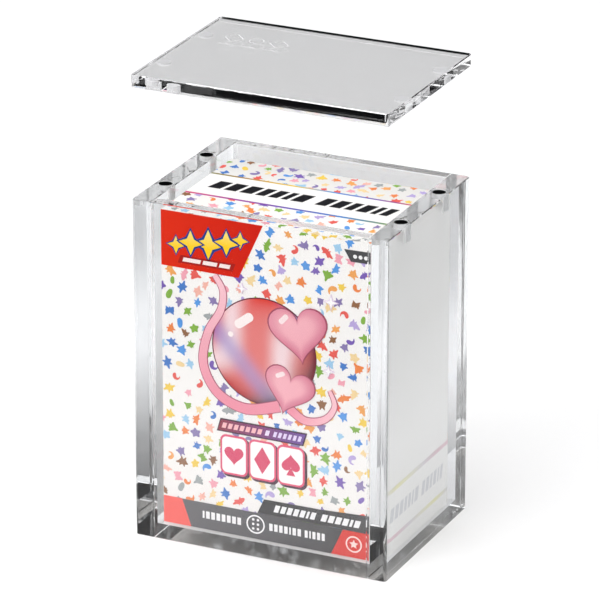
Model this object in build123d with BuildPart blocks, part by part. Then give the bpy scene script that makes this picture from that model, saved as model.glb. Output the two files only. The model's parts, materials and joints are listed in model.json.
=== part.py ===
"""Clear display case for a sealed carton of foil card packs.

Two thick side walls, two thinner end panels and a base are bonded into an open box. Magnets in
the rim hold a loose lid that carries magnets of its own. A folded paperboard carton stands in
the case and holds six foil packs, each with its stack of cards.

Millimetres, +Z up, front towards -Y. The origin is on the table, under the middle of the case.
"""

import os
from math import sqrt

from build123d import *

# Card stack in each pack
card_width = 63.0
card_height = 88.0
stack_thickness = 3.4
card_gap = 0.1

# Foil packs: pillow pouches round the cards, with a flat crimp at each end
pack_count = 6
pack_thickness = 9.2
pack_side_room = 2.5  # from the cards to each side of the pouch
pack_end_room = 9.0  # from the cards to each crimp
crimp_length = 8.0
crimp_thickness = 0.6
shoulder_length = 14.0  # from the crimp to the full thickness
foil = 0.15

# Carton: one folded blank of paperboard round the packs, with a tuck closure at each end
board = 0.5
fold_gap = 0.12  # between layers that lie on each other
pack_side_play = 9.0
pack_face_play = 0.55  # for each pack, front to rear
pack_headroom = 4.76
tongue_length = 14.0
tongue_inset = 3.0  # each end of the tongue, from the carton's side
dust_flap_length = 28.0

# Case: plates bonded edge to face, with play round the carton
side_wall = 8.0
end_panel = 5.0
base_thickness = 5.0
side_play = 1.5
front_play = 2.7
rear_play = 4.8
headroom = 4.5  # from the carton up to the rim
corner_radius = 1.2  # the four upright outer corners
edge_break = 0.3  # polished chamfer round the rim, the foot and the lid
seam_break = 0.25  # fine groove where an end panel meets a side wall

# Lid: a loose plate of the case's outline, shown lifted off
lid_thickness = 5.0
lid_raise = 44.5  # from the rim up to the lid's underside
engraving_depth = 0.2
engraving_line = 0.45
emblem_x, emblem_y = -27.0, 17.0
emblem_size = 6.0
emblem_pitch = 9.5  # from the ring to each diamond, and along the row of bars
bar_drop = 8.0  # from the ring down to the row of bars

# Magnets: glued into blind pockets, a little below the surface
magnet_diameter = 5.5
magnet_pitch = 35.6  # front to rear along each side wall
case_magnet_length = 7.0
lid_magnet_length = 2.0
magnet_recess = 0.1
glue_gap = 0.05  # round the magnet, in its pocket

# Sizes that follow, from the cards outwards
pack_width = card_width + 2 * pack_side_room
pack_length = card_height + 2 * (pack_end_room + crimp_length)
pack_pitch = pack_thickness + pack_face_play
closure_thickness = 2 * board + fold_gap  # closure panel over dust flap
board_inside_depth = pack_count * pack_pitch
carton_width = pack_width + 2 * (pack_side_play + board)
carton_depth = board_inside_depth + 2 * board
carton_height = pack_length + pack_headroom + 2 * closure_thickness
inner_width = carton_width + 2 * side_play
inner_depth = carton_depth + front_play + rear_play
case_width = inner_width + 2 * side_wall
case_depth = inner_depth + 2 * end_panel
case_height = base_thickness + carton_height + headroom

# Places that follow
wall_centre = (case_width - side_wall) / 2
panel_centre = (case_depth - end_panel) / 2
lid_bottom = case_height + lid_raise
lid_top = lid_bottom + lid_thickness
pocket_radius = magnet_diameter / 2 + glue_gap
carton_front = -inner_depth / 2 + front_play
carton_y = carton_front + carton_depth / 2
carton_top = base_thickness + carton_height
carton_middle = base_thickness + carton_height / 2
pack_floor = base_thickness + closure_thickness
pack_middle = pack_floor + pack_length / 2
straight_length = pack_length - 2 * (crimp_length + shoulder_length)

magnet_places = {
    f"{side}_{end}": (x * wall_centre, y * magnet_pitch / 2)
    for side, x in (("left", -1), ("right", 1))
    for end, y in (("front", -1), ("rear", 1))
}


def write(piece, name):
    """Label a finished piece and export it under its own name."""
    piece.part.label = name
    export_step(piece.part, f"parts/{name}.step")


def mount_pair(side):
    """The two magnet places along one side wall."""
    return [place for name, place in magnet_places.items() if name.startswith(side)]


os.makedirs("parts", exist_ok=True)

# Base plate, bonded between the four upright plates
with BuildPart() as base_panel:
    with BuildSketch():
        Rectangle(inner_width, inner_depth)
    extrude(amount=base_thickness)
write(base_panel, "base_panel")

# Side walls: full depth, rounded outside, with two magnet pockets in the top edge
for side, sign in (("left", -1), ("right", 1)):
    with BuildPart() as side_plate:
        with BuildSketch():
            with Locations((sign * wall_centre, 0)):
                Rectangle(side_wall, case_depth)
            ends = vertices().sort_by(Axis.X, reverse=sign > 0)
            fillet(ends[:2], corner_radius)
            chamfer(vertices().sort_by(Axis.X, reverse=sign < 0)[:2], seam_break)
        extrude(amount=case_height)
        by_height = faces().sort_by(Axis.Z)
        chamfer(by_height[0].edges() + by_height[-1].edges(), edge_break)
        with BuildSketch(Plane.XY.offset(case_height)):
            with Locations(*mount_pair(side)):
                Circle(pocket_radius)
        extrude(amount=-(case_magnet_length + magnet_recess), mode=Mode.SUBTRACT)
    write(side_plate, f"{side}_wall")

# End panels: full height, between the side walls
for end, sign in (("front", -1), ("rear", 1)):
    with BuildPart() as end_plate:
        with BuildSketch():
            with Locations((0, sign * panel_centre)):
                Rectangle(inner_width, end_panel)
            chamfer(vertices().sort_by(Axis.Y, reverse=sign > 0)[:2], seam_break)
        extrude(amount=case_height)
        by_height = faces().sort_by(Axis.Z)
        long_edges = (by_height[0].edges() + by_height[-1].edges()).filter_by(Axis.X)
        outer_foot = long_edges.group_by(Axis.Z)[0].sort_by(Axis.Y, reverse=sign > 0)[0]
        chamfer(long_edges.group_by(Axis.Z)[-1] + [outer_foot], edge_break)
    write(end_plate, f"{end}_panel")

# Case magnets, each standing on the bottom of its pocket
for place, centre in magnet_places.items():
    with BuildPart() as case_magnet:
        with BuildSketch(Plane.XY.offset(case_height - magnet_recess)):
            with Locations(centre):
                Circle(magnet_diameter / 2)
        extrude(amount=-case_magnet_length)
    write(case_magnet, f"case_magnet_{place}")

# Lid plate: pockets from below, a shallow engraved emblem on top
with BuildPart() as lid_plate:
    with BuildSketch(Plane.XY.offset(lid_bottom)):
        RectangleRounded(case_width, case_depth, corner_radius)
    extrude(amount=lid_thickness)
    by_height = faces().sort_by(Axis.Z)
    chamfer(by_height[0].edges() + by_height[-1].edges(), edge_break)
    with BuildSketch(Plane.XY.offset(lid_bottom)):
        with Locations(*magnet_places.values()):
            Circle(pocket_radius)
    extrude(amount=lid_magnet_length + magnet_recess, mode=Mode.SUBTRACT)
    with BuildSketch(Plane.XY.offset(lid_top)):
        # Two diamonds either side of a ring, over a row of short bars
        with Locations((emblem_x, emblem_y)):
            with GridLocations(2 * emblem_pitch, 0, 2, 1):
                Rectangle(emblem_size, emblem_size, rotation=45)
                inside = emblem_size - 2 * engraving_line
                Rectangle(inside, inside, rotation=45, mode=Mode.SUBTRACT)
            Circle(emblem_size / 2)
            Circle(emblem_size / 2 - engraving_line, mode=Mode.SUBTRACT)
        with Locations((emblem_x, emblem_y - bar_drop)):
            with GridLocations(emblem_pitch, 0, 3, 1):
                Rectangle(emblem_size, engraving_line)
    extrude(amount=-engraving_depth, mode=Mode.SUBTRACT)
write(lid_plate, "lid_plate")

# Lid magnets, each against the ceiling of its pocket
for place, centre in magnet_places.items():
    with BuildPart() as lid_magnet:
        with BuildSketch(Plane.XY.offset(lid_bottom + magnet_recess)):
            with Locations(centre):
                Circle(magnet_diameter / 2)
        extrude(amount=lid_magnet_length)
    write(lid_magnet, f"lid_magnet_{place}")

# Carton: the upper half with its tuck closure, then the same again below
with BuildPart() as carton_shell:
    with BuildSketch(Plane.XY.offset(carton_middle)):
        with Locations((0, carton_y)):
            Rectangle(carton_width, carton_depth)
            Rectangle(carton_width - 2 * board, board_inside_depth, mode=Mode.SUBTRACT)
    extrude(amount=carton_height / 2)
    # The closure panel lies over the side walls, so they stop below it
    with BuildSketch(Plane.XY.offset(carton_top)):
        with Locations((0, carton_y)):
            Rectangle(carton_width, board_inside_depth)
    extrude(amount=-(board + fold_gap), mode=Mode.SUBTRACT)
    closure_front = carton_front + board + fold_gap
    closure_rear = carton_front + carton_depth - board
    with BuildSketch(Plane.XY.offset(carton_top)):
        with Locations((0, closure_front)):
            Rectangle(carton_width, closure_rear - closure_front, align=(Align.CENTER, Align.MIN))
    extrude(amount=-board)
    # The tongue tucks in behind the front wall
    with BuildSketch(Plane.XY.offset(carton_top)):
        with Locations((0, closure_front)):
            Rectangle(carton_width - 2 * tongue_inset, board, align=(Align.CENTER, Align.MIN))
    extrude(amount=-tongue_length)
    # Dust flaps fold in from the side walls, under the closure panel
    flap_front = closure_front + board + fold_gap
    flap_depth = closure_rear - fold_gap - flap_front
    with BuildSketch(Plane.XY.offset(carton_top - board - fold_gap)):
        for sign in (-1, 1):
            flap_x = sign * (carton_width - dust_flap_length) / 2
            with Locations((flap_x, flap_front + flap_depth / 2)):
                Rectangle(dust_flap_length, flap_depth)
    extrude(amount=-board)
    mirror(about=Plane.XY.offset(carton_middle))
write(carton_shell, "carton_shell")


def pillow(thickness, shoulder, width, y):
    """A pouch body: straight in the middle, elliptical towards both crimps, round sides."""
    with BuildPart() as body:
        with BuildSketch(Plane.YZ):
            with Locations((y, pack_middle)):
                Rectangle(thickness, straight_length)
            for end in (-1, 1):
                with Locations((y, pack_middle + end * straight_length / 2)):
                    Ellipse(thickness / 2, shoulder)
        extrude(amount=width / 2, both=True)
        with BuildSketch(Plane.XY.offset(pack_floor)):
            with Locations((0, y)):
                SlotOverall(width, thickness)
        extrude(amount=pack_length, mode=Mode.INTERSECT)
    return body.part


# Cards sink into the lower shoulder until its walls are as close as the stack is thick
room = pack_thickness / 2 - foil
card_sink = 1 - sqrt(1 - ((stack_thickness / 2 + card_gap) / room) ** 2)
card_floor = pack_floor + crimp_length + foil + (shoulder_length - foil) * card_sink

for number in range(1, pack_count + 1):
    pack_y = carton_front + board + (number - 0.5) * pack_pitch

    inside_shoulder = shoulder_length - foil
    inside = pillow(pack_thickness - 2 * foil, inside_shoulder, pack_width - 2 * foil, pack_y)

    with BuildPart() as foil_pack:
        add(pillow(pack_thickness, shoulder_length, pack_width, pack_y))
        with BuildSketch(Plane.XY.offset(pack_floor)):
            with Locations((0, pack_y)):
                Rectangle(pack_width, crimp_thickness)
        extrude(amount=pack_length)
        add(inside, mode=Mode.SUBTRACT)
    write(foil_pack, f"foil_pack_{number}")

    with BuildPart() as card_stack:
        with BuildSketch(Plane.XY.offset(card_floor)):
            with Locations((0, pack_y)):
                Rectangle(card_width, stack_thickness)
        extrude(amount=card_height)
    write(card_stack, f"card_stack_{number}")
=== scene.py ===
"""Clear display case for a card carton: the finished look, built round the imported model."""

import json
import math

import bmesh
import bpy
from bpy.props import FloatProperty, FloatVectorProperty, IntProperty, PointerProperty
from bpy.types import Operator, Panel, PropertyGroup
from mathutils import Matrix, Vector

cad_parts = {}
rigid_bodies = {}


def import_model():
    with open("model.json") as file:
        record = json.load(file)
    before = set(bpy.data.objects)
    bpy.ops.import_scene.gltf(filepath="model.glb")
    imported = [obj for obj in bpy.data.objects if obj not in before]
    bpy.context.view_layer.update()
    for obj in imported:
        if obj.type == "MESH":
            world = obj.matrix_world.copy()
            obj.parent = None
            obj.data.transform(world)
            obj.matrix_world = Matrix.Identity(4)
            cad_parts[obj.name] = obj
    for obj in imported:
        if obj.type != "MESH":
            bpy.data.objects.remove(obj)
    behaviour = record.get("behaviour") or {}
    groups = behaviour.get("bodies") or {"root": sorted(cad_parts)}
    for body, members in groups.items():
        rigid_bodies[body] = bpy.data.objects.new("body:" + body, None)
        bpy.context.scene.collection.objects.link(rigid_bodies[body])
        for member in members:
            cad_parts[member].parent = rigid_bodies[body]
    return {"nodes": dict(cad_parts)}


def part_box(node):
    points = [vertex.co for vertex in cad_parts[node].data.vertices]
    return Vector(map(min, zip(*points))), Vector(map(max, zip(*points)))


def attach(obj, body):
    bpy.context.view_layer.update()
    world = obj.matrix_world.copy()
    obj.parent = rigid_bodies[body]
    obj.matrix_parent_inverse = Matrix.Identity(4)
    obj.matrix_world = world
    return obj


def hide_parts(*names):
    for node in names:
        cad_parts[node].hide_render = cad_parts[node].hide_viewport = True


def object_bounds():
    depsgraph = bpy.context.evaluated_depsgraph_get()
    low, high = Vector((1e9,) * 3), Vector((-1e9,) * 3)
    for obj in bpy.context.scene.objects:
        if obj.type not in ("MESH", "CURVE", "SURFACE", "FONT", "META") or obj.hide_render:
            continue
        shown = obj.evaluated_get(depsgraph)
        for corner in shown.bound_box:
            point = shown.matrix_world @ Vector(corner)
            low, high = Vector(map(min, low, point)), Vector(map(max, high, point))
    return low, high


bl_info = {
    "name": "Magnetic Card Case",
    "version": (1, 0, 0),
    "blender": (4, 5, 0),
    "location": "View3D > Sidebar > Card Case",
    "description": "Builds a clear magnetic case, its lid and the printed carton inside",
    "category": "Object",
}

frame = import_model()
CAD_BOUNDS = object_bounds()

MM = 0.001
WALLS = ("left_wall", "right_wall")
PANELS = ("front_panel", "rear_panel")
MAGNET_PLACES = [f"{side}_{end}" for side in ("left", "right") for end in ("front", "rear")]
PACKS = range(1, 7)


def srgb(code):
    """The linear RGBA of a colour written as six hex digits."""
    parts = [int(code[i : i + 2], 16) / 255 for i in (0, 2, 4)]
    return (*[p / 12.92 if p <= 0.04045 else ((p + 0.055) / 1.055) ** 2.4 for p in parts], 1.0)


def blended(a, b, share):
    """The colour that is share of the way from a to b."""
    share = min(max(share, 0.0), 1.0)
    return tuple(p + (q - p) * share for p, q in zip(a, b))


# ---------------------------------------------------------------- nodes written as expressions
class Sock:
    """One output of a node. Arithmetic on it adds Math nodes to the same tree."""

    def __init__(self, nodes, socket):
        self.nodes, self.socket = nodes, socket

    def also(self, name):
        """Another output of the same node."""
        return Sock(self.nodes, self.socket.node.outputs[name])

    def math(self, operation, *others):
        values = dict(enumerate((self, *others)))
        return self.nodes.add("ShaderNodeMath", {"operation": operation}, values)

    def __add__(self, other):
        return self.math("ADD", other)

    def __sub__(self, other):
        return self.math("SUBTRACT", other)

    def __mul__(self, other):
        return self.math("MULTIPLY", other)

    def __rtruediv__(self, other):
        return self.nodes.add("ShaderNodeMath", {"operation": "DIVIDE"}, {0: other, 1: self})

    def __gt__(self, other):
        return self.math("GREATER_THAN", other)

    def clamped(self):
        return self.math("MINIMUM", 1.0).math("MAXIMUM", 0.0)


class Nodes:
    """Adds nodes to a shader or geometry tree."""

    def __init__(self, tree):
        self.tree = tree

    def add(self, kind, settings=None, values=None):
        """A node of this type with its settings, then the values or links of its inputs."""
        node = self.tree.nodes.new(kind)
        for name, setting in (settings or {}).items():
            if name == "stops":
                ramp = node.color_ramp.elements
                while len(ramp) < len(setting):
                    ramp.new(1.0)
                for element, (place, colour) in zip(ramp, setting):
                    element.position, element.color = place, colour
            elif name == "interpolation" and kind == "ShaderNodeValToRGB":
                node.color_ramp.interpolation = setting
            else:
                setattr(node, name, setting)
        for name, value in (values or {}).items():
            if isinstance(value, Sock):
                self.tree.links.new(value.socket, node.inputs[name])
            else:
                node.inputs[name].default_value = value
        return Sock(self, node.outputs[0]) if node.outputs else node

    def blend(self, share, a, b):
        """A mix of two colours."""
        settings = {"data_type": "RGBA", "blend_type": "MIX"}
        return self.add("ShaderNodeMix", settings, {0: share, 6: a, 7: b}).also(2)

    def noise(self, where, scale, detail, rough=0.5):
        values = {"Vector": where, "Scale": scale, "Detail": detail, "Roughness": rough}
        return self.add("ShaderNodeTexNoise", {}, values)


class Finish(Nodes):
    """A material with one Principled shader."""

    def __init__(self, name):
        self.material = bpy.data.materials.new(name)
        self.material.use_nodes = True
        super().__init__(self.material.node_tree)
        self.shader = self.tree.nodes["Principled BSDF"]
        self.place = self.add("ShaderNodeTexCoord").also("Object")

    def set(self, **values):
        """Values or links for the shader's sockets, with _ for each space in a name."""
        for name, value in values.items():
            socket = self.shader.inputs[name.replace("_", " ")]
            if isinstance(value, Sock):
                self.tree.links.new(value.socket, socket)
            else:
                socket.default_value = value

    def bump(self, height, strength, distance):
        values = {"Height": height, "Strength": strength, "Distance": distance}
        self.set(Normal=self.add("ShaderNodeBump", {}, values))

    def clear_but_for(self, share):
        """Lets everything through except in this share of the finish."""
        clear = self.add("ShaderNodeBsdfTransparent")
        finish = Sock(self, self.shader.outputs[0])
        mixed = self.add("ShaderNodeMixShader", {}, {0: share, 1: clear, 2: finish})
        self.tree.links.new(mixed.socket, self.tree.nodes["Material Output"].inputs["Surface"])

    def stretched(self, scale):
        """Object coordinates scaled by a vector, so that a pattern runs one way."""
        return self.add("ShaderNodeMapping", {}, {"Vector": self.place, "Scale": scale})


# ---------------------------------------------------------------- finishes
ACRYLIC_INDEX = 1.49
# A level lid of a higher index shows the dark front band of a slightly tilted one.
LID_INDEX = 1.68


def clear_acrylic(name, tint, index=ACRYLIC_INDEX):
    """Polished cast acrylic with faint wiping marks and dust."""
    f = Finish(name)
    wipes = f.noise(f.stretched((18, 18, 70)), 1.0, 3.0)
    dust = f.noise(f.place, 900.0, 1.0)
    haze = (wipes - 0.55).clamped() * 0.05 + (dust - 0.72).clamped() * 0.12
    f.set(Base_Color=tint, IOR=index, Transmission_Weight=1.0, Roughness=haze)
    return f.material


def cut_acrylic(name, tint, clarity):
    """Acrylic left frosted by a drill or an engraving cutter."""
    f = Finish(name)
    grain = f.noise(f.place, 2600.0, 2.0)
    f.set(Base_Color=tint, IOR=ACRYLIC_INDEX, Transmission_Weight=clarity, Roughness=grain * 0.3 + 0.3)
    f.bump(grain, 0.3, 0.00005)
    return f.material


def solvent_bond():
    """A cemented face: nearly invisible, with faint smears and tiny bubbles."""
    f = Finish("solvent_bond")
    f.set(Base_Color=srgb("eef1f3"), Roughness=0.4)
    bubbles = f.noise(f.place, 1500.0, 1.0) > 0.73
    smears = (f.noise(f.place, 170.0, 3.0, 0.6) - 0.5).clamped()
    f.clear_but_for(bubbles * 0.25 + smears * 0.9 + 0.03)
    return f.material


def nickel_plate():
    """Bright nickel with fine turning marks and a few rubbed spots."""
    f = Finish("nickel_plate")
    marks = f.noise(f.stretched((900, 900, 9000)), 1.0, 2.0)
    rubbed = (f.noise(f.place, 700.0, 3.0) - 0.5).clamped()
    f.set(Metallic=1.0, Roughness=marks * 0.08 + rubbed * 0.3 + 0.04)
    f.set(Base_Color=f.blend(rubbed * 2.0, srgb("c9c8c6"), srgb("a09d99")))
    return f.material


def coated_board(name, colour, edge):
    """White-lined paperboard with a thin varnish, faint fibres and handling wear."""
    f = Finish(name)
    fibre = f.noise(f.stretched((900, 900, 350)), 1.0, 4.0, 0.7)
    cloud = f.noise(f.place, 28.0, 3.0)
    f.set(Base_Color=f.blend((cloud * 0.5 + fibre * 0.4 - 0.25).clamped(), colour, edge))
    f.set(Roughness=fibre * 0.12 + cloud * 0.1 + 0.3, Coat_Weight=0.25, Coat_Roughness=0.18)
    f.bump(fibre, 0.12, 0.00004)
    return f.material


def printing_ink():
    """Matt ink in the colour that each printed area carries, with a little rubbed off."""
    f = Finish("printing_ink")
    ink = f.add("ShaderNodeAttribute", {"attribute_name": "ink"})
    grain = f.noise(f.place, 1400.0, 2.0)
    worn = (f.noise(f.place, 45.0, 4.0) - 0.62).clamped() * 0.35
    f.set(Base_Color=f.blend(worn, ink, srgb("f3f0ec")))
    f.set(Roughness=grain * 0.16 + 0.34, Specular_IOR_Level=0.12)
    return f.material


def pack_foil():
    """Metallised film with a soft colour shift, creased by handling."""
    f = Finish("pack_foil")
    crease = f.noise(f.stretched((120, 120, 40)), 1.0, 4.0, 0.6)
    bands = f.add("ShaderNodeSeparateXYZ", {}, {0: f.place}).also("Z") * 60.0 + crease * 1.5
    stops = [(0.0, srgb("b8406a")), (0.35, srgb("e58aa0")), (0.65, srgb("8f7fc4")), (1.0, srgb("b8406a"))]
    tint = f.add("ShaderNodeValToRGB", {"stops": stops}, {0: bands.math("FRACT")})
    f.set(Base_Color=tint, Metallic=0.75, Roughness=crease * 0.25 + 0.15)
    f.bump(crease, 0.5, 0.0003)
    return f.material


def card_edges():
    """A squared stack: each card shows as a thin line along the edges."""
    f = Finish("card_edges")
    along = f.add("ShaderNodeSeparateXYZ", {}, {0: f.place}).also("Y")
    layers = ((along * 3200.0).math("FRACT") - 0.5).math("ABSOLUTE") * 2.0
    grain = f.noise(f.place, 1200.0, 3.0)
    f.set(Base_Color=f.blend(layers * 0.6, srgb("eceae4"), srgb("a8aab4")))
    f.set(Roughness=grain * 0.2 + 0.4)
    f.bump(layers, 0.3, 0.00005)
    return f.material


def studio_paper(colour):
    """Matt seamless paper."""
    f = Finish("studio_paper")
    grain = f.noise(f.place, 300.0, 3.0)
    f.set(Base_Color=f.blend(grain * 0.06, colour, srgb("dddddd")), Roughness=0.9)
    f.set(Specular_IOR_Level=0.1)
    return f.material


# ---------------------------------------------------------------- outlines, in millimetres
def arc(x, y, radius, start, end, steps):
    """Points round a centre, from one angle to another in degrees."""
    turns = [math.radians(start + (end - start) * i / steps) for i in range(steps + 1)]
    return [(x + radius * math.cos(t), y + radius * math.sin(t)) for t in turns]


def disc(x, y, radius, steps=40):
    return arc(x, y, radius, 0, 360 - 360 / steps, steps - 1)


def rounded(x, y, width, height, radius, steps=6):
    """A rectangle about a centre, with round corners."""
    w, h = width / 2 - radius, height / 2 - radius
    corners = ((x + w, y - h, -90), (x + w, y + h, 0), (x - w, y + h, 90), (x - w, y - h, 180))
    return [p for cx, cy, turn in corners for p in arc(cx, cy, radius, turn, turn + 90, steps)]


def slanted(x0, x1, y0, y1, lean):
    """A parallelogram whose top is moved along by lean."""
    return [(x0, y0), (x1, y0), (x1 + lean, y1), (x0 + lean, y1)]


def turned(points, degrees, about):
    """The points turned about a place."""
    c, s = math.cos(math.radians(degrees)), math.sin(math.radians(degrees))
    ax, ay = about
    return [(ax + (x - ax) * c - (y - ay) * s, ay + (x - ax) * s + (y - ay) * c) for x, y in points]


def moved(points, dx, dy):
    return [(x + dx, y + dy) for x, y in points]


def heart(x, y, size, steps):
    """A heart of this width about a centre."""
    turns = [math.tau * i / steps for i in range(steps)]
    return [
        (
            x - size / 32 * 16 * math.sin(t) ** 3,
            y + size / 32 * (13 * math.cos(t) - 5 * math.cos(2 * t) - 2 * math.cos(3 * t) - math.cos(4 * t)),
        )
        for t in turns
    ]


class Solids:
    """Closed solids gathered into one mesh, each point with a colour."""

    def __init__(self, place):
        """place turns (u, v, height) in millimetres into a point in metres."""
        self.place = place
        self.points, self.faces, self.colours = [], [], []

    def _layer(self, outline, height, colour):
        start = len(self.points)
        for u, v in outline:
            self.points.append(self.place(u, v, height))
            self.colours.append(colour(u, v) if callable(colour) else colour)
        return list(range(start, start + len(outline)))

    def prism(self, outline, low, high, colour=(1, 1, 1, 1)):
        """A solid with this outline, which runs anticlockwise."""
        bottom = self._layer(outline, low, colour)
        top = self._layer(outline, high, colour)
        self.faces += [top, bottom[::-1]]
        self._walls(bottom, top)

    def ring(self, outer, inner, low, high, colour):
        """A solid between two outlines with as many points."""
        ob, ot = self._layer(outer, low, colour), self._layer(outer, high, colour)
        ib, it = self._layer(inner, low, colour), self._layer(inner, high, colour)
        self._walls(ob, ot)
        self._walls(it, ib)
        self._walls(ot, it)
        self._walls(ib, ob)

    def sheet(self, rows, low, high, colour):
        """A solid over a grid of points, given in rows that run from left to right, upwards."""
        width = len(rows[0])
        bottom = [self._layer(row, low, colour) for row in rows]
        top = [self._layer(row, high, colour) for row in rows]
        for i in range(len(rows) - 1):
            for j in range(width - 1):
                a, b = top[i], top[i + 1]
                self.faces.append([a[j], a[j + 1], b[j + 1], b[j]])
                a, b = bottom[i], bottom[i + 1]
                self.faces.append([a[j], b[j], b[j + 1], a[j + 1]])

        def rim(grid):
            right, left = [r[-1] for r in grid[1:]], [r[0] for r in grid[1:-1]]
            return grid[0] + right + grid[-1][-2::-1] + left[::-1]

        self._walls(rim(bottom), rim(top))

    def mound(self, outline, centre, rings, low, high, colour):
        """A solid whose top is divided into rings, coloured by (u, v, share of the way in)."""
        x, y = centre
        bottom = self._layer(outline, low, lambda u, v: colour(u, v, 0.0))
        rows = []
        for k in range(rings):
            inward = k / rings
            row = [(u + (x - u) * inward, v + (y - v) * inward) for u, v in outline]
            rows.append(self._layer(row, high, lambda u, v, inward=inward: colour(u, v, inward)))
        peak = self._layer([centre], high, lambda u, v: colour(u, v, 1.0))[0]
        self.faces.append(bottom[::-1])
        self._walls(bottom, rows[0])
        for outer, inner in zip(rows, rows[1:]):
            self._walls(outer, inner)
        count = len(outline)
        self.faces += [[rows[-1][i], rows[-1][(i + 1) % count], peak] for i in range(count)]

    def _walls(self, bottom, top):
        count = len(bottom)
        for i in range(count):
            j = (i + 1) % count
            self.faces.append([bottom[i], bottom[j], top[j], top[i]])

    def mesh(self, name):
        mesh = bpy.data.meshes.new(name)
        mesh.from_pydata([tuple(p) for p in self.points], [], self.faces)
        ink = mesh.color_attributes.new(name="ink", type="FLOAT_COLOR", domain="POINT")
        ink.data.foreach_set("color", [value for colour in self.colours for value in colour])
        mesh.validate()
        return mesh


# ---------------------------------------------------------------- objects
def add_object(name, mesh, materials, body, replaced=()):
    """A finished piece that rides on a body."""
    piece = bpy.data.objects.new(name, mesh)
    bpy.context.scene.collection.objects.link(piece)
    if not mesh.materials:
        for material in materials:
            mesh.materials.append(material)
    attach(piece, body)
    if replaced:
        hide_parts(*replaced)
    return piece


def smooth_mesh(mesh, degrees):
    """Smooth shading, with a crease where faces turn by more than this."""
    mesh.polygons.foreach_set("use_smooth", [True] * len(mesh.polygons))
    mesh.set_sharp_from_angle(angle=math.radians(degrees))
    return mesh


def evaluated_mesh(source, name):
    """The mesh that an object's modifiers give. The object is removed."""
    graph = bpy.context.evaluated_depsgraph_get()
    mesh = bpy.data.meshes.new_from_object(source.evaluated_get(graph))
    mesh.name = name
    bpy.data.objects.remove(source)
    return mesh


def loose_object(name, mesh):
    """An object that is not a finished piece: a helper, or part of the stage."""
    helper = bpy.data.objects.new(name, mesh)
    bpy.context.scene.collection.objects.link(helper)
    return helper


def welded_copy(node, name):
    """A copy of a CAD node's mesh with its points merged and flat areas made whole."""
    mesh = frame["nodes"][node].data.copy()
    mesh.name = name
    mesh.materials.clear()
    if mesh.has_custom_normals:
        mesh.attributes.remove(mesh.attributes["custom_normal"])
    b = bmesh.new()
    b.from_mesh(mesh)
    bmesh.ops.remove_doubles(b, verts=b.verts, dist=1e-6)
    bmesh.ops.dissolve_limit(b, angle_limit=math.radians(1), verts=b.verts, edges=b.edges)
    b.to_mesh(mesh)
    b.free()
    return mesh


def softened(mesh, width, steps, name):
    """The mesh with its edges rounded."""
    helper = loose_object("helper", mesh)
    bevel = helper.modifiers.new("edges", "BEVEL")
    bevel.width, bevel.segments, bevel.limit_method = width, steps, "ANGLE"
    bevel.angle_limit = math.radians(40)
    return smooth_mesh(evaluated_mesh(helper, name), 35)


# ---------------------------------------------------------------- settings
def length(name, default, text):
    """A length in millimetres."""
    return FloatProperty(name=name, description=text, default=default, min=0.0)


def paint(name, code, text):
    return FloatVectorProperty(
        name=name, description=text, subtype="COLOR", size=4, min=0.0, max=1.0, default=srgb(code)
    )


class CaseSettings(PropertyGroup):
    """Clarity of the acrylic, and the finish of the magnets."""

    clear_tint: paint("Panel Tint", "f9f9fa", "Colour of the thin panels")
    wall_tint: paint("Wall Tint", "f1f3f5", "Colour of the thick side walls")
    lid_tint: paint("Lid Tint", "f4f4f5", "Colour of the lid")
    magnet_round: length("Magnet Edge", 0.25, "Round on the edge of each magnet, mm")
    glue_film: length("Glue Film", 0.08, "Between each magnet and the end of its pocket, mm")


class PrintSettings(PropertyGroup):
    """The carton's board, print and confetti."""

    board: paint("Board", "faf8f5", "Colour of the unprinted board")
    red: paint("Red", "e02a08", "Strong red of the corner flag")
    salmon: paint("Salmon", "f4645c", "Lighter red of the lower corners")
    pink: paint("Pink", "ee93a6", "Ribbons of the picture")
    pitch: length("Confetti Pitch", 5.5, "From one figure to the next, mm")
    figure: length("Confetti Size", 2.3, "Radius of one figure, mm")
    seed: IntProperty(name="Seed", description="Confetti scatter", default=7)


class StageSettings(PropertyGroup):
    """Floor, light and camera."""

    floor: paint("Floor", "f8f8f8", "Colour of the floor")
    azimuth: FloatProperty(name="Azimuth", description="Camera to the right, degrees", default=25.1)
    elevation: FloatProperty(name="Elevation", description="Camera above the floor, degrees", default=21.6)
    distance: FloatProperty(name="Distance", description="Camera to its aim", default=1.8822, unit="LENGTH")
    lens: FloatProperty(name="Lens", description="Focal length, mm", default=293.6)
    sun: FloatProperty(name="Key Light", description="Strength of the broad key light", default=3.05)


def settings():
    return bpy.context.scene.card_case


# ---------------------------------------------------------------- acrylic plates
CLEAR, CUT, BONDED = range(3)


def face_finish(face, inside, neighbours, magnets):
    """Which of the plate's three finishes a face has."""
    centre, beside = face.calc_center_median(), 0.05 * MM
    outside = centre + face.normal * beside
    for low, high in neighbours:
        if all(low[i] - 1e-7 < outside[i] < high[i] + 1e-7 for i in range(3)):
            return BONDED
    for low, high in magnets:
        middle, reach = (low + high) / 2, (high.x - low.x) / 2 + 0.2 * MM
        if (centre - middle).xy.length < reach and low.z - reach < centre.z < high.z + reach:
            flush = abs(face.normal.z) > 0.9 and abs(centre.z - inside[1].z) < 1e-6
            return CLEAR if flush else CUT
    rim = min(centre.x - inside[0].x, inside[1].x - centre.x, centre.y - inside[0].y, inside[1].y - centre.y)
    engraved = rim > 2 * MM and 0.01 * MM < inside[1].z - centre.z < 0.5 * MM
    return CUT if engraved else CLEAR


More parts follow.
